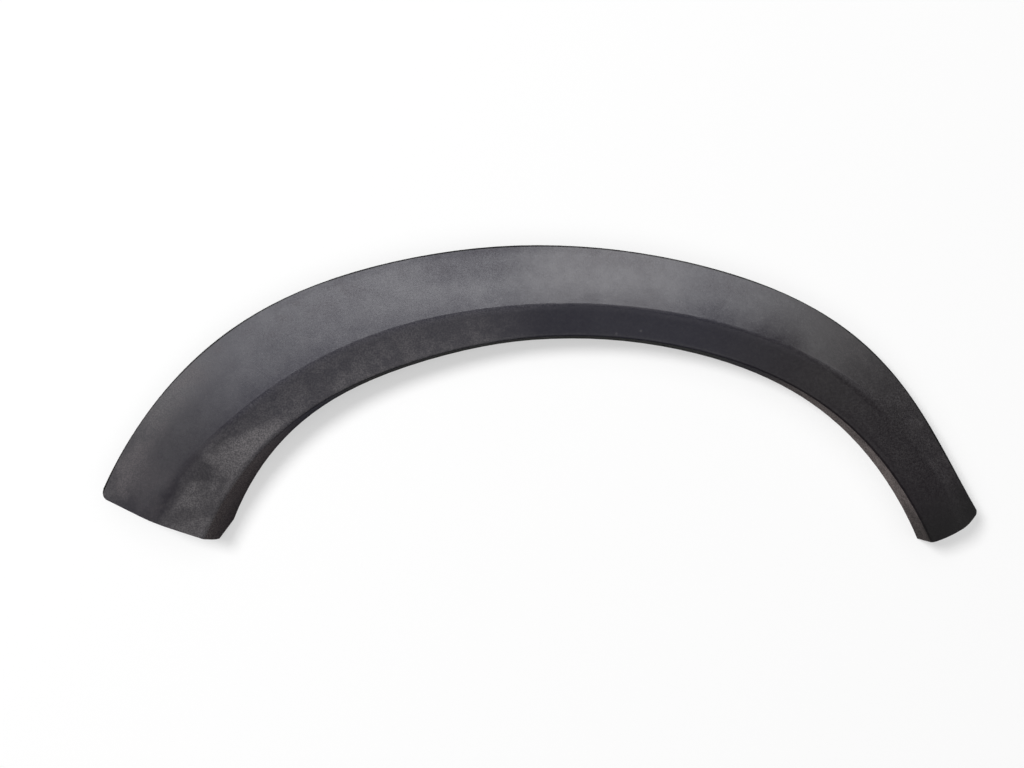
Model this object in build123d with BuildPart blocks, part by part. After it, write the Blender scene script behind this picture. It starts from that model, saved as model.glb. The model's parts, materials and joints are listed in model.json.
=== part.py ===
"""Rear wheel arch trim: one injection moulding, lying face up as it rests on a floor.

Drawn about the wheel centre: X runs along the car, Y runs up the car, Z comes out of the show face.
"""

import os
from math import asin, cos, degrees, radians, sin

from build123d import *

# Plan lines of the show face. Each one starts level at its crown and falls both ways in tangent arcs.
edge_crown = (-21, 499)  # outer edge, against the body side
edge_crown_radius = 648
edge_left_turn = 19
edge_left_radius = 366
edge_right_turn = 20.5
edge_right_radius = 298
edge_right_bend = 40  # after this bend the right leg runs straight

crease_crown = (4, 439)  # crease between the outer band and the inner band
crease_crown_radius = 600
crease_left_turn = 15.5
crease_left_radius = 390
crease_right_turn = 16.5
crease_right_radius = 357

corner_crown = (14, 409)  # corner where the face turns into the flange
corner_crown_radius = 510
corner_left_turn = 26.5
corner_left_radius = 288
corner_right_turn = 18.5
corner_right_radius = 308

foot_crown = (14, 408)  # foot of the flange, which leans into the wheel space on the left leg
foot_crown_radius = 512
foot_left_turn = 26
foot_left_radius = 238
foot_right_turn = 19
foot_right_radius = 296

line_run_on = 75  # bend of the last arc of each line, in degrees, past the ends of the part
straight_run_on = 320

# Heights above the floor
edge_height = 28
crease_height = 50
crease_right_height = 35  # the crease sinks along the right leg
corner_height = 36

# Section
wall = 2.8
edge_round = 1.2
corner_round = 5
crease_round = 4
crease_left_round = 46  # the crease softens away at the left end
crease_right_round = 40  # and along the right leg
left_soften_from = 40  # degrees from the crown
right_soften_from = 30
right_soften_to = 54

# Ends
left_end_angle = 60.2
left_end_skew = 8.3  # turn of the left cut from the radial line
left_outer_corner = 8  # from the corner to where its round starts
left_inner_corner = 10  # on the foot of the flange
flange_snip_length = 22  # the flange's foot is snipped off aslant at the left end
flange_snip_height = 13
right_end_angle = 60.75
right_end_skew = 2
right_end_radius = 115  # the right end bulges a little
right_outer_corner = 5

# Clip towers on the back, in pairs that share one reach from the wheel centre
crown_clip_angle = 14
crown_clip_reach = 468
shoulder_clip_angle = 34
shoulder_clip_reach = 470
leg_clip_angle = 52
leg_clip_reach = 455
tower_length = 26
tower_width = 20
tower_wall = 2
clip_plate = 2.4
clip_hole_diameter = 8
clip_slot_width = 5  # the clip's neck slides in here, and snaps into the hole
web_thickness = 2

# Screw holes in the flange, beside the crown
screw_hole_diameter = 6.5
screw_hole_spacing = 180
screw_hole_height = 13

# Where the sections are cut, in degrees from the crown
first_section = -68
last_section = 68
section_count = 13

below_floor = 10  # the form is drawn this far below the floor, and then cut level
seat_height = edge_height - wall  # plane of the car's body side
everything = 200  # longer than any cut has to be


def heading(angle):
    """Direction from the wheel centre, with the angle counted from the crown to the right."""
    return Vector(sin(radians(angle)), cos(radians(angle)), 0)


def along(angle):
    """Direction round the arch, to the right."""
    return Vector(cos(radians(angle)), -sin(radians(angle)), 0)


def fade(angle, start, end):
    """0 before the start, 1 after the end, and a soft step between."""
    share = min(max((angle - start) / (end - start), 0), 1)
    return share * share * (3 - 2 * share)


def plan_line(crown, crown_radius, left_turn, left_radius, right_turn, right_radius):
    """A crown arc with a tighter shoulder arc on each side."""
    with BuildLine() as line:
        left = JernArc(crown, (-1, 0), crown_radius, left_turn)
        JernArc(left @ 1, left % 1, left_radius, line_run_on)
        right = JernArc(crown, (1, 0), crown_radius, -right_turn)
        JernArc(right @ 1, right % 1, right_radius, -line_run_on)
    return line.line


def reach(line, angle):
    """How far a plan line lies from the wheel centre at an angle."""
    ray = Axis((0, 0, 0), heading(angle))
    return max(hit.length for edge in line.edges() for hit in edge.find_intersection_points(ray))


def mid_reach(angle):
    """Middle of the show face at an angle."""
    return (reach(edge_line, angle) + reach(corner_line, angle)) / 2


def inset(before, at, after, gap):
    """The corner of two lines after both have moved sideways by the gap, to the right of their run."""
    run_in = (at - before).normalized()
    run_out = (after - at).normalized()
    side = Vector(run_in.Y, -run_in.X) + Vector(run_out.Y, -run_out.X)
    return at + side * (gap / (1 + run_in.dot(run_out)))


crease_line = plan_line(
    crease_crown,
    crease_crown_radius,
    crease_left_turn,
    crease_left_radius,
    crease_right_turn,
    crease_right_radius,
)
corner_line = plan_line(
    corner_crown,
    corner_crown_radius,
    corner_left_turn,
    corner_left_radius,
    corner_right_turn,
    corner_right_radius,
)
foot_line = plan_line(
    foot_crown,
    foot_crown_radius,
    foot_left_turn,
    foot_left_radius,
    foot_right_turn,
    foot_right_radius,
)
with BuildLine() as edge_plan:
    edge_left = JernArc(edge_crown, (-1, 0), edge_crown_radius, edge_left_turn)
    JernArc(edge_left @ 1, edge_left % 1, edge_left_radius, line_run_on)
    edge_right = JernArc(edge_crown, (1, 0), edge_crown_radius, -edge_right_turn)
    edge_bend = JernArc(edge_right @ 1, edge_right % 1, edge_right_radius, -edge_right_bend)
    PolarLine(edge_bend @ 1, straight_run_on, direction=edge_bend % 1)
edge_line = edge_plan.line


def section_plane(angle):
    """Upright plane through the wheel centre: its X runs outwards, and its Y is up."""
    return Plane(origin=(0, 0, 0), x_dir=heading(angle), z_dir=along(angle))


def crease_at(angle):
    """Height and round of the crease at an angle."""
    left = fade(-angle, left_soften_from, left_end_angle)
    right = fade(angle, right_soften_from, right_soften_to)
    height = crease_height + (crease_right_height - crease_height) * right
    rounding = crease_round + (crease_left_round - crease_round) * left
    return height, rounding + (crease_right_round - crease_round) * right


def skin_points(angle):
    """Toe, corner, crease and edge of the show face in the section at an angle."""
    corner = Vector(reach(corner_line, angle), corner_height)
    foot = Vector(reach(foot_line, angle), 0)
    toe = foot + (foot - corner) * (below_floor / corner_height)
    crease = Vector(reach(crease_line, angle), crease_at(angle)[0])
    edge = Vector(reach(edge_line, angle), edge_height)
    return toe, corner, crease, edge


section_step = (last_section - first_section) / (section_count - 1)
sections = []
for number in range(section_count):
    section_angle = first_section + section_step * number
    sections.append((section_plane(section_angle), skin_points(section_angle), crease_at(section_angle)[1]))


def waste_outside_corner(line, middle, cut, size):
    """Sketch what is cut away outside the round corner of a plan line and the cut across an end."""
    across = Axis(middle, cut)
    hits = [(hit, edge) for edge in line.edges() for hit in edge.find_intersection_points(across)]
    corner, edge = min(hits, key=lambda found: (found[0] - middle).length)
    inwards = (middle - corner).normalized()
    run = edge.tangent_at(corner)
    back = run if run.Y > 0 else -run
    clear = 2 * size
    with BuildSketch() as waste:
        with BuildLine():
            TangentArc(corner + inwards * size, corner + back * size, tangent=-inwards)
            Polyline(
                corner + back * size,
                corner + back * size - inwards * clear,
                corner - (back + inwards) * clear,
                corner + inwards * size - back * clear,
                corner + inwards * size,
            )
        make_face()
    return waste.sketch


# Towers that hold the clips: a plate with a keyhole, walled on three sides, and a web to the flange
clip_places = []
for clip_reach, clip_angle in (
    (crown_clip_reach, crown_clip_angle),
    (shoulder_clip_reach, shoulder_clip_angle),
    (leg_clip_reach, leg_clip_angle),
):
    clip_places.append((clip_reach, -clip_angle))
    clip_places.append((clip_reach, clip_angle))

with BuildPart() as towers:
    for clip_reach, clip_angle in clip_places:
        middle = heading(clip_angle) * clip_reach
        seat = Plane(origin=(middle.X, middle.Y, seat_height), x_dir=along(clip_angle), z_dir=(0, 0, 1))
        with BuildSketch(seat):
            Rectangle(tower_length, tower_width)
            Rectangle(web_thickness, everything / 2, align=(Align.CENTER, Align.MAX))
        extrude(amount=crease_height)
        with BuildSketch(seat.offset(clip_plate)):
            with Locations((0, tower_wall)):
                Rectangle(tower_length - 2 * tower_wall, tower_width)
        extrude(amount=crease_height, mode=Mode.SUBTRACT)
        with BuildSketch(seat):
            Circle(clip_hole_diameter / 2)
            Rectangle(clip_slot_width, tower_width, align=(Align.CENTER, Align.MIN))
        extrude(amount=clip_plate, mode=Mode.SUBTRACT)

# The mould's core fills the back of the moulding, and has a pocket for each tower
with BuildPart() as core:
    for plane, (toe, corner, crease, edge), rounding in sections:
        overrun = edge + (edge - crease).normalized() * below_floor
        face_end = inset(crease, overrun, overrun + (overrun - crease), wall)
        toe_end = inset(toe - (corner - toe), toe, corner, wall)
        with BuildSketch(plane):
            with BuildLine():
                FilletPolyline(
                    toe_end,
                    inset(toe, corner, crease, wall),
                    inset(corner, crease, edge, wall),
                    face_end,
                    (face_end.X, -2 * below_floor),
                    (toe_end.X, -2 * below_floor),
                    radius=(0, max(corner_round - wall, wall / 4), max(rounding - wall, wall / 4), 0, 0, 0),
                    close=True,
                )
            make_face()
    loft()
    add(towers.part, mode=Mode.SUBTRACT)

with BuildPart() as trim:
    # The outside of the moulding, filled down past the floor
    for plane, (toe, corner, crease, edge), rounding in sections:
        with BuildSketch(plane):
            with BuildLine():
                FilletPolyline(
                    toe,
                    corner,
                    crease,
                    edge,
                    (edge.X, -below_floor),
                    radius=(0, corner_round, rounding, edge_round, 0),
                    close=True,
                )
            make_face()
    loft()
    add(core.part, mode=Mode.SUBTRACT)
    split(bisect_by=Plane.XY, keep=Keep.TOP)

    # Left end: a straight skewed cut
    left_end = heading(-left_end_angle) * mid_reach(-left_end_angle)
    left_cut = heading(-left_end_angle - left_end_skew)
    left_plane = Plane(origin=left_end, x_dir=left_cut, z_dir=(0, 0, 1))
    with BuildSketch(left_plane):
        Rectangle(everything * 2, everything, align=(Align.CENTER, Align.MIN))
    extrude(amount=everything, mode=Mode.SUBTRACT)

    # Right end: a shallow bulge
    right_end = heading(right_end_angle) * mid_reach(right_end_angle)
    right_turn = right_end_angle - right_end_skew
    right_plane = Plane(origin=right_end, x_dir=-heading(right_turn), z_dir=(0, 0, 1))
    with BuildSketch(right_plane):
        Rectangle(right_end_radius * 2, everything, align=(Align.CENTER, Align.MIN))
        with Locations((0, -right_end_radius / 4)):
            Rectangle(right_end_radius * 2, right_end_radius / 2)
        with Locations((0, -right_end_radius)):
            Circle(right_end_radius, mode=Mode.SUBTRACT)
    extrude(amount=everything, mode=Mode.SUBTRACT)

    # Round the corners of both ends as they are seen from above. The bulge leans back at its corner
    half_width = reach(edge_line, right_end_angle) - right_end.length
    lean = degrees(asin(half_width / right_end_radius))
    bulge_middle = right_end - along(right_turn) * right_end_radius
    right_cut = heading(right_turn - lean)
    right_corner = bulge_middle + along(right_turn - lean) * right_end_radius
    for line, middle, cut, size in (
        (edge_line, left_end, left_cut, left_outer_corner),
        (foot_line, left_end, left_cut, left_inner_corner),
        (edge_line, right_corner - right_cut * half_width, right_cut, right_outer_corner),
    ):
        extrude(waste_outside_corner(line, middle, cut, size), amount=everything, mode=Mode.SUBTRACT)

    # The flange's foot is snipped aslant at the left end
    snip_start = left_end - left_cut * (left_end.length - reach(corner_line, -left_end_angle) - corner_round)
    with BuildSketch(Plane(origin=snip_start, x_dir=-left_plane.y_dir, z_dir=-left_cut)):
        with BuildLine():
            Polyline(
                (-flange_snip_length, 0),
                (flange_snip_length, 0),
                (0, flange_snip_height),
                (-flange_snip_length, flange_snip_height),
                close=True,
            )
        make_face()
    extrude(amount=everything, mode=Mode.SUBTRACT)

    # Screw holes through the flange
    with BuildSketch(Plane.XZ.offset(-foot_crown[1])):
        with Locations((foot_crown[0], screw_hole_height)):
            with GridLocations(screw_hole_spacing, 0, 2, 1):
                Circle(screw_hole_diameter / 2)
    extrude(amount=crease_height / 2, both=True, mode=Mode.SUBTRACT)

# The frame's origin is the middle of the space that the part takes up on the floor
space = Compound(trim.edges()).bounding_box()
home = Location((-space.center().X, -space.center().Y, -space.min.Z))
arch_trim = trim.part.moved(home)
arch_trim.label = "arch_trim"

os.makedirs("parts", exist_ok=True)
export_step(arch_trim, "parts/arch_trim.step")
print("moved from the wheel centre by", home.position, "space", space.size)
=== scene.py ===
# %% [markdown]
# # A wheel arch trim, dressed in Blender
# The real object is one thin plastic moulding that frames the wheel opening of a car.
# It has been taken off the car and lies face up on a white floor.
# Its shape is already exact in the CAD model, which is loaded first as a fixed frame.
# So this lesson is about everything that a shape doesn't hold: the grain of the plastic,
# years of dust and rubbing, the soft light, and the place that the camera looks from.

# %% Load the frame
import json
from math import cos, pi, radians, sin, sqrt

import bpy
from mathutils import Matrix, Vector

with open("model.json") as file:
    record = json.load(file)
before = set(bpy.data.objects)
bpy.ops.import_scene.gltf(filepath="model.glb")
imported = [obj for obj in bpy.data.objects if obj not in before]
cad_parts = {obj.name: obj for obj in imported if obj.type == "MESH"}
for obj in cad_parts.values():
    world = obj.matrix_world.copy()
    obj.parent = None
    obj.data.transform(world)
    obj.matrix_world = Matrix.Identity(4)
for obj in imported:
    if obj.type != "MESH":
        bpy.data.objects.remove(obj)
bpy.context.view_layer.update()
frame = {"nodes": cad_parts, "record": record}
moulding = frame["nodes"]["arch_trim"]

# %% [markdown]
# ## Where the wheel would be
# Every line of an arch trim is drawn around the wheel, so the wheel's centre is the handiest
# place to measure from. It could be typed in, but the frame already knows it: the two clip
# holes at the crown lie on a circle about that centre, and the record gives their spacing.

# %% Find the wheel centre
mm = 0.001
crown_clip_reach = 468 * mm
mounts = {mount["name"]: mount for mount in frame["record"]["mounts"]}
clip_pair = mounts["crown_clips"]
half_spacing = clip_pair["dims"]["spacing_x_mm"] / 2 * mm
wheel_x = clip_pair["pos_m"][0]
wheel_y = clip_pair["pos_m"][1] - sqrt(crown_clip_reach**2 - half_spacing**2)
print("wheel centre:", round(wheel_x, 4), round(wheel_y, 4))

# %% [markdown]
# ## The camera
# The photograph was taken from straight above: no side of the outer edge shows, and the flange
# shows only at the two legs, where the lens looks past it. A camera that points down needs no
# rotation at all in Blender. The height was found from how much of the flange shows.

# %% Hang the camera
camera_height = 1150 * mm
camera_left_of_wheel = 48 * mm
camera_above_wheel = 362 * mm
camera = bpy.data.cameras.new("overhead_camera")
camera.sensor_width = 36
camera.lens = 40
camera_stand = bpy.data.objects.new("overhead_camera", camera)
camera_stand.location = (wheel_x - camera_left_of_wheel, wheel_y + camera_above_wheel, camera_height)
bpy.context.collection.objects.link(camera_stand)
bpy.context.scene.camera = camera_stand
bpy.context.scene.view_settings.view_transform = "Standard"
print("camera at", tuple(round(place, 4) for place in camera_stand.location))

# %% [markdown]
# ## Writing shader maths as sums
# A finish is a net of nodes, and nets get hard to read when every sum is wired by hand.
# The class below wraps one socket that carries a number. Adding or multiplying two of them
# adds a Math node and returns the wrapped result, and the reflected forms let a plain number
# stand first, as in 1 - dust. The second class holds one node tree, and its node method makes
# every node of this file: settings first, because they decide which sockets there are.

# %% Wrap sockets and trees
class Reading:
    """A number that changes over a surface."""

    def __init__(self, tree, socket):
        self.tree = tree
        self.socket = socket

    def __add__(self, other):
        return self.tree.math("ADD", self, other)

    __radd__ = __add__

    def __sub__(self, other):
        return self.tree.math("SUBTRACT", self, other)

    def __rsub__(self, other):
        return self.tree.math("SUBTRACT", other, self)

    def __mul__(self, other):
        return self.tree.math("MULTIPLY", self, other)

    __rmul__ = __mul__


class Tree:
    """The node tree of one finish."""

    def __init__(self, owner):
        owner.use_nodes = True
        self.tree = owner.node_tree
        self.tree.nodes.clear()

    def node(self, kind, settings=(), sockets=()):
        """Make a node, apply its settings, then fill or link its sockets by identifier."""
        made = self.tree.nodes.new(kind)
        for name, value in dict(settings).items():
            setattr(made, name, value)
        ports = {port.identifier: port for port in made.inputs}
        for name, value in dict(sockets).items():
            if isinstance(value, Reading):
                value = value.socket
            if isinstance(value, bpy.types.NodeSocket):
                self.tree.links.new(value, ports[name])
            else:
                ports[name].default_value = value
        return made

    def math(self, operation, first, second):
        made = self.node("ShaderNodeMath", {"operation": operation}, {"Value": first, "Value_001": second})
        return Reading(self, made.outputs["Value"])

    def vector(self, operation, first, second):
        sockets = {"Vector": first, "Vector_001": second}
        return self.node("ShaderNodeVectorMath", {"operation": operation}, sockets).outputs

    def fade(self, value, start, end):
        """0 at the start, 1 at the end, and a soft step between. The start may be the larger one."""
        sockets = {"Value": value, "From Min": start, "From Max": end}
        made = self.node("ShaderNodeMapRange", {"interpolation_type": "SMOOTHSTEP"}, sockets)
        return Reading(self, made.outputs["Result"])

    def noise(self, where, scale, detail, roughness):
        """Random swells from 0 to 1. The scale is how many of them lie in a metre."""
        sockets = {"Vector": where, "Scale": scale, "Detail": detail, "Roughness": roughness}
        return Reading(self, self.node("ShaderNodeTexNoise", (), sockets).outputs["Fac"])

    def tint(self, share, under, over):
        """Lay one colour over another."""
        sockets = {"Factor_Float": share, "A_Color": under, "B_Color": over}
        made = self.node("ShaderNodeMix", {"data_type": "RGBA"}, sockets)
        return next(port for port in made.outputs if port.identifier == "Result_Color")


def between(low, high, share):
    """The first value where the share is 0, and the second where it is 1."""
    return low + (high - low) * share


print("shader sums ready")

# %% [markdown]
# ## The floor
# The trim lies on plain white paper. A plane is enough. Its own colour is white, and for the
# camera part of it shines at strength 1, which is exactly white, so the paper stays white
# to the edge of the picture while the object's soft shadow still darkens the rest. Far from the
# object, where the lamps reach less, all of it shines, so that a low view shows no horizon.

# %% Lay the floor
floor_half = 6.0
floor_drop = 0.2 * mm
floor_corners = [(-1, -1), (1, -1), (1, 1), (-1, 1)]
floor_mesh = bpy.data.meshes.new("floor")
floor_points = [(x * floor_half, y * floor_half, -floor_drop) for x, y in floor_corners]
floor_mesh.from_pydata(floor_points, [], [(0, 1, 2, 3)])
floor = bpy.data.objects.new("floor", floor_mesh)
bpy.context.collection.objects.link(floor)
print("floor:", 2 * floor_half, "metres wide")

# %% Whiten the paper
white = (1.0, 1.0, 1.0, 1.0)
paper_white = (0.97, 0.97, 0.97, 1.0)
near_shine = 0.45
full_shine = 1.0
near_paper = 0.9
far_paper = 2.2
paper = bpy.data.materials.new("white_paper")
sheet = Tree(paper)
rays = sheet.node("ShaderNodeLightPath").outputs
seen = sheet.math("MAXIMUM", rays["Is Camera Ray"], rays["Is Glossy Ray"])
seen = sheet.math("MAXIMUM", seen, rays["Is Transmission Ray"])
on_paper = sheet.node("ShaderNodeTexCoord").outputs["Object"]
from_middle = sheet.vector("LENGTH", on_paper, (0.0, 0.0, 0.0))["Value"]
shining = seen * between(near_shine, full_shine, sheet.fade(from_middle, near_paper, far_paper))
matt = sheet.node("ShaderNodeBsdfDiffuse", (), {"Color": paper_white}).outputs["BSDF"]
shine = sheet.node("ShaderNodeEmission", (), {"Color": white, "Strength": 1.0}).outputs["Emission"]
blend = sheet.node("ShaderNodeMixShader", (), {"Fac": shining, "Shader": matt, "Shader_001": shine})
sheet.node("ShaderNodeOutputMaterial", (), {"Surface": blend.outputs["Shader"]})
floor_mesh.materials.append(paper)
print("paper:", len(paper.node_tree.nodes), "nodes")

# %% [markdown]
# ## The light
# Black plastic shows its light more than its colour. The outer band of the trim is bright at the
# crown and dark along the right leg, which says that one very large soft light stood above the
# picture, and that the rest of the room was dim. Lamps could be mirrored in the plastic, but the
# sky is smoother: the world is bright around one direction and falls off softly. This sky is made
# for the shine alone, so it is hidden from the dull part of every surface. The camera itself sees
# plain white where it looks past the floor.

# %% Paint the room that the plastic mirrors
def towards(left_right, up):
    """Direction from the floor's middle: degrees to the right of the picture's top, and degrees up."""
    flat = cos(radians(up))
    return Vector((sin(radians(left_right)) * flat, cos(radians(left_right)) * flat, sin(radians(up))))


def glow_around(centre, rim, core):
    """1 inside the core of a bright place and 0 outside its rim, both in degrees from its centre."""
    nearness = sky.vector("DOT_PRODUCT", looking, centre)["Value"]
    return sky.fade(nearness, cos(radians(rim)), cos(radians(core)))


window = towards(-9, 20)
window_strength = 4.75
far_wall = towards(180, 25.5)
far_wall_strength = 0.47
room_strength = 0.057
world = bpy.data.worlds.new("soft_studio")
bpy.context.scene.world = world
world.cycles_visibility.diffuse = False
sky = Tree(world)
looking = sky.node("ShaderNodeTexCoord").outputs["Generated"]
glow = room_strength + window_strength * glow_around(window, rim=63, core=20)
glow = glow + far_wall_strength * glow_around(far_wall, rim=52, core=8)
sky_rays = sky.node("ShaderNodeLightPath").outputs
sky_colour = sky.tint(sky_rays["Is Camera Ray"], glow, white)
backdrop = sky.node("ShaderNodeBackground", (), {"Color": sky_colour, "Strength": 1.0})
sky.node("ShaderNodeOutputWorld", (), {"Surface": backdrop.outputs["Background"]})
print("window towards", tuple(round(part, 2) for part in window))

# %% [markdown]
# The dull part, which is the paper and the dust, is lit by two lamps. A very wide one overhead
# fills every hollow. A smaller one stands higher than the window and to the left, and casts the
# short shadow that lies along the inside of the arch. Their levels add up to about 1, the level
# at which a colour shows as it is written.

# %% Hang the lamps
def hang_lamp(name, across, heading, distance, level):
    """A round lamp that points at the floor's middle and lights the floor to a level."""
    heading = Vector(heading).normalized()
    lamp = bpy.data.lights.new(name, "AREA")
    lamp.shape = "DISK"
    lamp.size = across
    lamp.energy = level * pi**2 * (distance**2 + (across / 2) ** 2) / heading.z
    stand = bpy.data.objects.new(name, lamp)
    stand.location = heading * distance
    stand.rotation_euler = heading.to_track_quat("Z", "Y").to_euler()
    stand.visible_glossy = False
    stand.visible_camera = False
    bpy.context.collection.objects.link(stand)
    print(name, "at", tuple(round(part, 2) for part in stand.location), round(lamp.energy, 1), "watts")


hang_lamp("overhead_softbox", across=8.0, heading=(0.0, 0.0, 1.0), distance=3.4, level=0.42)
hang_lamp("high_lamp", across=3.4, heading=(-0.62, 0.40, 1.0), distance=10.0, level=0.59)

# %% [markdown]
# ## Finding the way on the moulding
# Dust and rubbing follow the shape: they sit on the inner band, along an edge, or at one end.
# The lines of the arch are arcs that meet smoothly, so the distance to a line is the distance
# to an arc's middle less its radius. Each line has three arcs, and which one counts depends on
# the side of the joint between them. The outer edge ends in a straight run on the right leg.
# A painted map would do too, but it would need unwrapping, and distances never stretch.

# %% Measure from arcs and straight runs
mm_per_metre = 1000
plastic = bpy.data.materials.new("grained_plastic")
skin = Tree(plastic)
spots = skin.node("ShaderNodeTexCoord").outputs
place = spots["Object"]
flat_place = skin.vector("MULTIPLY", place, (1.0, 1.0, 0.0))["Vector"]


def beyond_arc(middle, radius):
    distance = skin.vector("DISTANCE", flat_place, middle)["Value"]
    return mm_per_metre * Reading(skin, distance) - radius


def beyond_straight(start, out):
    run = skin.vector("SUBTRACT", flat_place, start)["Vector"]
    return mm_per_metre * Reading(skin, skin.vector("DOT_PRODUCT", run, out)["Value"])


def outwards(side, turn):
    return Vector((side * sin(radians(turn)), cos(radians(turn)), 0.0))


def after_joint(joint, side, turn, before, after):
    """Change from one stretch of a line to the next one at their joint."""
    run = skin.vector("SUBTRACT", flat_place, joint)["Vector"]
    ahead = (side * cos(radians(turn)), -sin(radians(turn)), 0.0)
    past = skin.math("GREATER_THAN", skin.vector("DOT_PRODUCT", run, ahead)["Value"], 0.0)
    return before + past * (after - before)


print("arcs and runs ready")

# %% Measure from the lines of the arch
def beyond(line, crown, crown_radius, left, right, right_bend=None):
    """Millimetres outside a line of the arch. Left and right hold a shoulder's turn and radius."""
    top = Vector((wheel_x + crown[0] * mm, wheel_y + (crown[1] - crown_radius) * mm, 0.0))
    measured = beyond_arc(top, crown_radius)
    for side, (turn, radius) in ((-1, left), (1, right)):
        joint = top + outwards(side, turn) * crown_radius * mm
        middle = joint - outwards(side, turn) * radius * mm
        measured = after_joint(joint, side, turn, measured, beyond_arc(middle, radius))
    if right_bend:
        turn = turn + right_bend
        leg_start = middle + outwards(1, turn) * radius * mm
        measured = after_joint(leg_start, 1, turn, measured, beyond_straight(leg_start, outwards(1, turn)))
    print("line:", line)
    return measured


past_crease = beyond("crease", (4, 439), 600, left=(15.5, 390), right=(16.5, 357))
past_corner = beyond("corner", (14, 409), 510, left=(26.5, 288), right=(18.5, 308))
past_edge = beyond("outer edge", (-21, 499), 648, left=(19, 366), right=(20.5, 298), right_bend=40)

# %% [markdown]
# An angle about the wheel says how far along the arch a spot lies: 0 at the crown, minus on the
# left leg and plus on the right one. The surface's normal says how steep it is, which tells the
# show face from the flange. From here on, every number in a mask is a place: degrees along the
# arch, millimetres beyond a line, or the upright part of the normal.

# %% Measure the angle and the slope
from_wheel = skin.vector("SUBTRACT", flat_place, (wheel_x, wheel_y, 0.0))["Vector"]
from_wheel = skin.node("ShaderNodeSeparateXYZ", (), {"Vector": from_wheel}).outputs
angle = skin.math("ARCTAN2", from_wheel["X"], from_wheel["Y"]) * (180 / pi)
slope = skin.node("ShaderNodeSeparateXYZ", (), {"Vector": spots["Normal"]}).outputs
facing_up = Reading(skin, slope["Z"])


def stretch(start, full_from, full_to, end):
    """1 along a stretch of the arch and 0 beyond its soft ends, in degrees."""
    return skin.fade(angle, start, full_from) * skin.fade(angle, end, full_to)


show_face = skin.fade(facing_up, 0.45, 0.75)
inner_band = show_face * skin.fade(past_crease, 2.0, -2.0)
outer_band = show_face * skin.fade(past_crease, -2.0, 2.0)
flange_wall = skin.fade(facing_up, 0.85, 0.55) * skin.fade(past_corner, 4.0, 1.0)
crown_stretch = stretch(-36.0, -28.0, 20.0, 27.0)
print("bands ready:", len(plastic.node_tree.nodes), "nodes")

# %% [markdown]
# ## The grain
# Trim of this kind is moulded against an etched tool, which leaves a fine pebble grain. At arm's
# length it isn't seen as bumps: it spreads the shine and breaks it up into fine speckle. Noise
# of two sizes feeds a Bump node. The speckle also moves the roughness and the share of the dull
# finish a little, and larger noise does the same for years of uneven rubbing.

# %% Make the grain
pebbles = skin.noise(place, 1100.0, detail=1.0, roughness=0.5)
speckle = skin.noise(place, 700.0, detail=2.0, roughness=0.7)
mottle = skin.noise(place, 330.0, detail=2.0, roughness=0.6)
blotches = skin.noise(place, 75.0, detail=3.0, roughness=0.6)
clouds = skin.noise(place, 22.0, detail=3.0, roughness=0.55)
grain_height = pebbles + 0.6 * speckle
fine_swing = 1.1
broad_swing = 0.35
uneven = fine_swing * (speckle - 0.5) + broad_swing * (blotches - 0.5) + broad_swing * (clouds - 0.5)
uneven = show_face * uneven
print("grain ready")

# %% [markdown]
# ## Grey dust
# The trim has lived on a car. Road dust has settled on the inner band of the left leg and has been
# rubbed off in places, so it lies in two patches with a darker gap between them. The upper patch
# starts at a rounded end and draws away from the crease as it climbs, until only the rim by the
# flange is dusty. Dust is grains, so the speckle breaks it up. It could be a painted image, but
# masks made of distances and noise stay sharp at any size. A cover is the share of the plastic
# that the dust hides.

# %% Lay the two patches
upper_cover = 0.46
upper_core_cover = 0.18
lower_cover = 0.38
millimetres_per_degree = 2.1
degrees_per_millimetre = 0.08
ragged = 14 * (blotches - 0.5)
blotchy = skin.fade(blotches, 0.42, 0.58)
grains = between(0.45, 1.55, skin.fade(speckle, 0.32, 0.68))
upper_start = angle + degrees_per_millimetre * ragged
upper_rim = past_crease + millimetres_per_degree * (angle + 47.0) + 6.0 + ragged
upper_patch = skin.fade(upper_start, -50.9, -49.7) * skin.fade(angle, -29.0, -43.0)
upper_patch = upper_patch * skin.fade(upper_rim, 6.0, -12.0) * skin.fade(past_corner, -1.0, 6.0)
upper_core = upper_patch * stretch(-50.0, -45.0, -43.0, -36.0)
lower_start = angle + degrees_per_millimetre * (past_crease + 40.0 + ragged)
lower_patch = skin.fade(lower_start, -49.8, -51.2) * between(0.7, 1.0, skin.fade(angle, -59.0, -55.0))
lower_patch = lower_patch * skin.fade(past_crease + ragged, -3.0, -11.0)
lower_patch = lower_patch * skin.fade(past_corner, 0.0, 15.0) * between(0.75, 1.15, blotchy)
upper_dust = upper_cover * upper_patch + upper_core_cover * upper_core
patches = skin.math("MAXIMUM", upper_dust, lower_cover * lower_patch) * show_face * grains
print("patches ready")

# %% [markdown]
# A thin film goes on from the patches towards the crown. It is thicker in blotches and away from
# the crease, and is partly rubbed off between the patches. On the right of the crown lie only a
# few grains of grit. A Voronoi texture places them: one spot to a cell, in a few cells.

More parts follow.
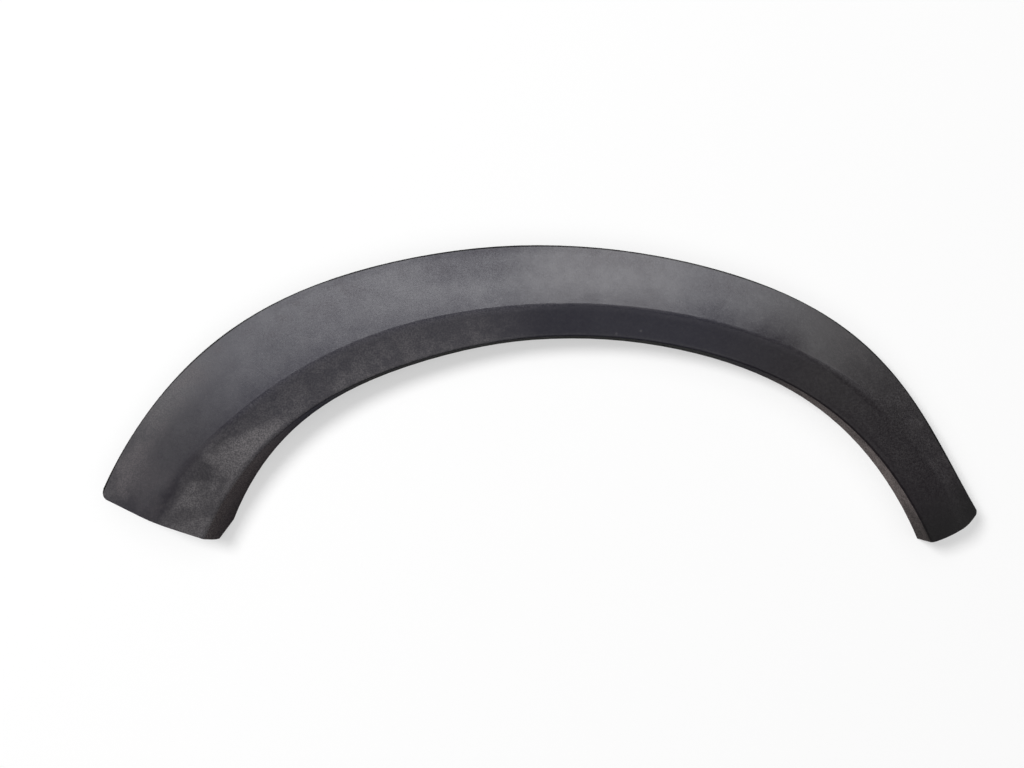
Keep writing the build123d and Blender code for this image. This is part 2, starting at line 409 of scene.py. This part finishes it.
# %% Lay the thin film and a few grains of grit
film_cover = 0.30
film_extra = 0.06
grit_cover = 0.25
grit_spacing = 25 * mm
film_rim = past_crease + 0.6 * ragged
film_rim = film_rim - 5 * skin.fade(angle, -43.0, -48.0) + 6 * skin.fade(angle, -52.0, -56.0)
film = skin.fade(facing_up, 0.25, 0.6) * skin.fade(angle, -1.0, -14.0)
film = film * skin.fade(past_corner, -5.0, -2.0) * skin.fade(film_rim, 3.0, -9.0)
film = film * between(0.55, 1.0, skin.fade(0.4 * clouds + 0.6 * blotches, 0.42, 0.58))
film = film * between(0.82, 1.15, skin.fade(past_crease, -10.0, -34.0))
gap = stretch(-54.5, -52.5, -50.5, -49.0) * skin.fade(past_crease, -28.0, -14.0)
film = film * between(1.0, 0.55, gap)
thicker = skin.fade(angle, -40.0, -30.0) + skin.fade(angle, -44.0, -52.0)
film = film * (film_cover + film_extra * thicker)
grit_sockets = {"Vector": place, "Scale": 1 / grit_spacing}
grit_cells = skin.node("ShaderNodeTexVoronoi", {"voronoi_dimensions": "2D"}, grit_sockets).outputs
grit_pick = skin.node("ShaderNodeSeparateXYZ", (), {"Vector": grit_cells["Color"]}).outputs["X"]
grit = skin.fade(grit_cells["Distance"], 0.07, 0.02) * skin.math("GREATER_THAN", grit_pick, 0.88)
grit = grit * inner_band * stretch(0.0, 6.0, 28.0, 33.0)
grey_dust = skin.math("MAXIMUM", patches, film * grains)
grey_dust = skin.math("MAXIMUM", grey_dust, grit_cover * grit)
print("film and grit ready")

# %% [markdown]
# ## Brown dust and pale stains
# A brown film lies on the flange, thickest on the right, which faced the wheel's spray. Pale brown
# stains sit near the outer edge, where water ran off the body and dried.

# %% Lay the brown dust and the stains
right_cover = 0.66
left_cover = 0.30
stain_cover = 0.15
end_cover = 0.11
below_corner = skin.fade(past_corner, 2.0, -1.0)
right_flange = below_corner * skin.fade(facing_up, 0.35, 0.12) * between(0.80, 1.12, blotchy)
right_flange = right_flange * skin.fade(angle, 27.0, 38.0) * between(0.3, 1.0, skin.fade(angle, 60.0, 51.0))
left_flange = below_corner * skin.fade(facing_up, 0.7, 0.45) * skin.fade(angle, -36.0, -46.0)
left_flange = left_flange * between(0.5, 1.0, skin.fade(past_corner, -15.0, 0.0))
brown_dust = (right_cover * right_flange + left_cover * left_flange) * grains
left_leg = skin.fade(angle, -18.0, -34.0)
right_leg = skin.fade(angle, 20.0, 30.0)
stained = outer_band * skin.fade(0.5 * clouds + 0.5 * blotches, 0.46, 0.62)
stained = stained * skin.fade(past_edge, -42.0, -6.0) * (0.35 + 0.65 * left_leg - 0.10 * right_leg)
end_film = outer_band * skin.fade(angle, -50.0, -58.0) * skin.fade(clouds, 0.35, 0.65)
pale_stain = (stain_cover * stained + end_cover * end_film) * grains
print("brown dust and stains ready")

# %% [markdown]
# ## Haze, a painted highlight and painted light on the crease
# Old plastic goes pale where the weather has been at it, and that haze leaves the shine alone: it
# only lightens the colour. Here it lies along the outer edge of the left leg, on the rounded corner
# by the flange at the crown, and in blotches on the right leg. The same pale colour is laid on the
# outer band at the crown as a painted highlight, which lifts the sheen where it is brightest. A trace of
# haze is everywhere, speckled and mottled, because the raised parts of the grain go pale first.

# %% Lay the haze and a painted highlight
left_haze_cover = 0.18
crown_highlight_cover = 0.12
corner_haze_cover = 0.06
inner_leg_cover = 0.03
outer_leg_cover = 0.06
speckle_cover = 0.085
mottle_cover = 0.12
left_haze = outer_band * skin.fade(past_edge, -36.0, -6.0) * skin.fade(angle, -38.0, -47.0)
left_haze = left_haze * between(0.6, 1.0, skin.fade(angle, -54.0, -50.0))
# painted highlight: the pale colour laid on the outer band at the crown, where the sheen is brightest
painted_crown_highlight = outer_band * stretch(-9.0, 1.0, 10.0, 19.0)
rounded_corner = skin.fade(facing_up, 0.96, 0.80) * skin.fade(facing_up, 0.20, 0.45)
corner_haze = crown_stretch * rounded_corner * skin.fade(past_corner, 6.0, 3.0)
inner_leg = inner_band * stretch(30.0, 36.0, 49.0, 55.0) * skin.fade(past_corner, 2.0, 12.0)
outer_leg = outer_band * stretch(30.0, 36.0, 53.0, 59.0)
leg_haze = inner_leg_cover * inner_leg + outer_leg_cover * outer_leg
leg_haze = leg_haze * between(0.75, 1.35, skin.fade(blotches, 0.40, 0.62))
haze_and_highlight = left_haze_cover * left_haze + crown_highlight_cover * painted_crown_highlight + corner_haze_cover * corner_haze
trace = speckle_cover * skin.fade(speckle, 0.40, 0.72) + mottle_cover * (mottle - 0.5)
haze_and_highlight = (haze_and_highlight + leg_haze) * grains + show_face * trace
print("haze ready")

# %% [markdown]
# A thin pale line is painted along the crease: painted light that lifts the dark line which the
# shading of the crease leaves there. The line is strongest on the left of the crown. On the legs it
# lies a little inside the crease, which is rounder there, and then it dies out.

# %% Paint light along the crease
left_crease_light = 0.15
right_crease_light = 0.05
crease_light_line = past_crease - 5 * skin.fade(angle, -40.0, -48.0) - 4 * skin.fade(angle, 30.0, 36.0)
painted_crease_light = show_face * skin.fade(crease_light_line, -7.0, -2.0) * skin.fade(crease_light_line, 2.0, -1.0)
painted_crease_light = painted_crease_light * stretch(-46.0, -41.0, 37.0, 44.0) * grains
painted_crease_light = painted_crease_light * between(left_crease_light, right_crease_light, skin.fade(angle, -8.0, 3.0))
print("wear ready")

# %% [markdown]
# ## The plastic
# Black polypropylene is never quite black. Here it is a little violet at the crown, where it has
# been cleaned, and a little brown on the legs. A thin near-black line is painted round the outer
# edge: a painted dark reflection, standing in for the dark side of the room that the tightly rounded
# edge would mirror. The same near black is painted as shade on the flange at the crown and at the end of
# the right leg.

# %% Mix the colours
violet_plastic = (0.0122, 0.0113, 0.0202, 1.0)
brown_plastic = (0.0080, 0.0059, 0.0078, 1.0)
# near black for painted shade and for the painted dark reflection along the edge
painted_dark_colour = (0.006, 0.006, 0.006, 1.0)
grey_dust_colour = (0.187, 0.176, 0.181, 1.0)
brown_dust_colour = (0.183, 0.154, 0.148, 1.0)
pale_stain_colour = (0.178, 0.159, 0.163, 1.0)
haze_and_highlight_colour = (0.180, 0.172, 0.174, 1.0)
crease_light_colour = (0.172, 0.164, 0.186, 1.0)
left_brown = 0.6 * skin.fade(angle, -38.0, -52.0)
right_brown = skin.fade(angle, 14.0, 36.0)
# painted dark reflection: a thin near-black line along the outer edge, which also dulls the sheen there
painted_dark_edge = skin.fade(past_edge, -2.0, -0.8)
# painted shade: the flange wall at the crown is painted near black
painted_shade_flange = crown_stretch * flange_wall * skin.fade(facing_up, 0.45, 0.20)
# painted shade: the end of the right leg is painted darker
painted_shade_end = 0.7 * skin.fade(angle, 54.0, 60.0)
painted_shade_and_reflection = skin.math("MAXIMUM", painted_dark_edge, skin.math("MAXIMUM", painted_shade_end, painted_shade_flange))
colour = skin.tint(skin.math("MAXIMUM", left_brown, right_brown), violet_plastic, brown_plastic)
# the haze colour also lays the painted highlight on the crown
colour = skin.tint(haze_and_highlight, colour, haze_and_highlight_colour)
# painted light that lifts the shading line along the crease
colour = skin.tint(painted_crease_light, colour, crease_light_colour)
colour = skin.tint(pale_stain, colour, pale_stain_colour)
colour = skin.tint(grey_dust, colour, grey_dust_colour)
# lay the painted shade and the painted dark edge reflection
colour = skin.tint(painted_shade_and_reflection, colour, painted_dark_colour)
colour = skin.tint(brown_dust, colour, brown_dust_colour)
print("colours ready")

# %% [markdown]
# ## The shine
# One shader with a rougher surface would turn every dusty place into a wide grey gleam. Two shaders
# mixed by a mask are nearer to the truth: bare plastic with a sheen, and dust with almost none.
# Handling has rubbed some of the sheen off the outer band: beside the crease, in a wider strip on
# the left leg, and along the outer edge on the left of the crown. A loss is the share that is gone.

# %% Find the rubbed places
left_crease_loss = 0.20
right_crease_loss = 0.32
left_leg_loss = 0.13
crown_edge_loss = 0.18
left_edge_loss = 0.15
crease_loss = between(left_crease_loss, right_crease_loss, skin.fade(angle, -1.0, 4.0))
crease_rub = crease_loss * skin.fade(past_crease, 26.0, 1.0) * stretch(-57.0, -52.0, 29.0, 35.0)
wide_rub = left_leg_loss * skin.fade(past_crease, 60.0, 16.0) * stretch(-57.0, -50.0, -38.0, -20.0)
crown_edge = skin.fade(past_edge, -44.0, -16.0) * stretch(-19.0, -13.0, -5.0, 1.0)
left_edge = skin.fade(past_edge, -12.0, -4.0) * skin.fade(angle, -36.0, -28.0)
edge_rub = crown_edge_loss * crown_edge + left_edge_loss * left_edge
rubbed = outer_band * (crease_rub + wide_rub + edge_rub * skin.fade(angle, 8.0, -2.0))
print("rubbed places ready")

# %% [markdown]
# The dull share is high on the flange, on the dust and on the dark edge, which mirror next to
# nothing. On the right it rises at the shoulder and again at the end of the leg. What is rubbed
# and uneven comes on top, with a small share for the plastic as it left the mould.

# %% Find the dull places
bare_dullness = 0.16
flange_dullness = 0.85
dust_dullness = 0.9
edge_dullness = 0.7
end_dullness = 0.35
upper_shoulder = 0.09
lower_shoulder = 0.14
dusty = grey_dust + pale_stain
shoulder = upper_shoulder * skin.fade(angle, 15.0, 20.0) + lower_shoulder * skin.fade(angle, 22.0, 27.0)
shoulder = shoulder * between(0.4, 1.3, skin.fade(past_edge, -8.0, -34.0)) * skin.fade(angle, 32.0, 28.0)
dull_leg = end_dullness * skin.fade(angle, 46.0, 56.0) + outer_band * shoulder
dulled = skin.math("MAXIMUM", flange_dullness * flange_wall, dust_dullness * dusty)
dulled = skin.math("MAXIMUM", dulled, skin.math("MAXIMUM", dull_leg, edge_dullness * painted_dark_edge))
dulled = dulled + rubbed + bare_dullness + uneven
print("dull places ready")

# %% [markdown]
# Last come the two shaders. They share the colour and the grain, and the mask mixes them.

# %% Mix the finish
sheen_roughness = 0.37
sheen_index = 1.58
dull_roughness = 0.9
dull_shine = 0.1
grain_strength = 0.4
grain_depth = 0.12 * mm
uneven_roughness = 0.12
dust_roughness = 0.30
roughness = sheen_roughness + uneven_roughness * uneven + dust_roughness * dusty
bump_sockets = {"Strength": grain_strength, "Distance": grain_depth, "Height": grain_height}
bump = skin.node("ShaderNodeBump", (), bump_sockets)
grained = {"Base Color": colour, "Normal": bump.outputs["Normal"]}
sheen_sockets = {**grained, "Roughness": roughness, "IOR": sheen_index}
dull_sockets = {**grained, "Roughness": dull_roughness, "Specular IOR Level": dull_shine}
sheen = skin.node("ShaderNodeBsdfPrincipled", (), sheen_sockets)
dull = skin.node("ShaderNodeBsdfPrincipled", (), dull_sockets)
finish_sockets = {"Fac": dulled, "Shader": sheen.outputs["BSDF"], "Shader_001": dull.outputs["BSDF"]}
finish = skin.node("ShaderNodeMixShader", (), finish_sockets)
skin.node("ShaderNodeOutputMaterial", (), {"Surface": finish.outputs["Shader"]})
for slot in moulding.material_slots:
    slot.material = plastic
print("finish:", len(plastic.node_tree.nodes), "nodes")
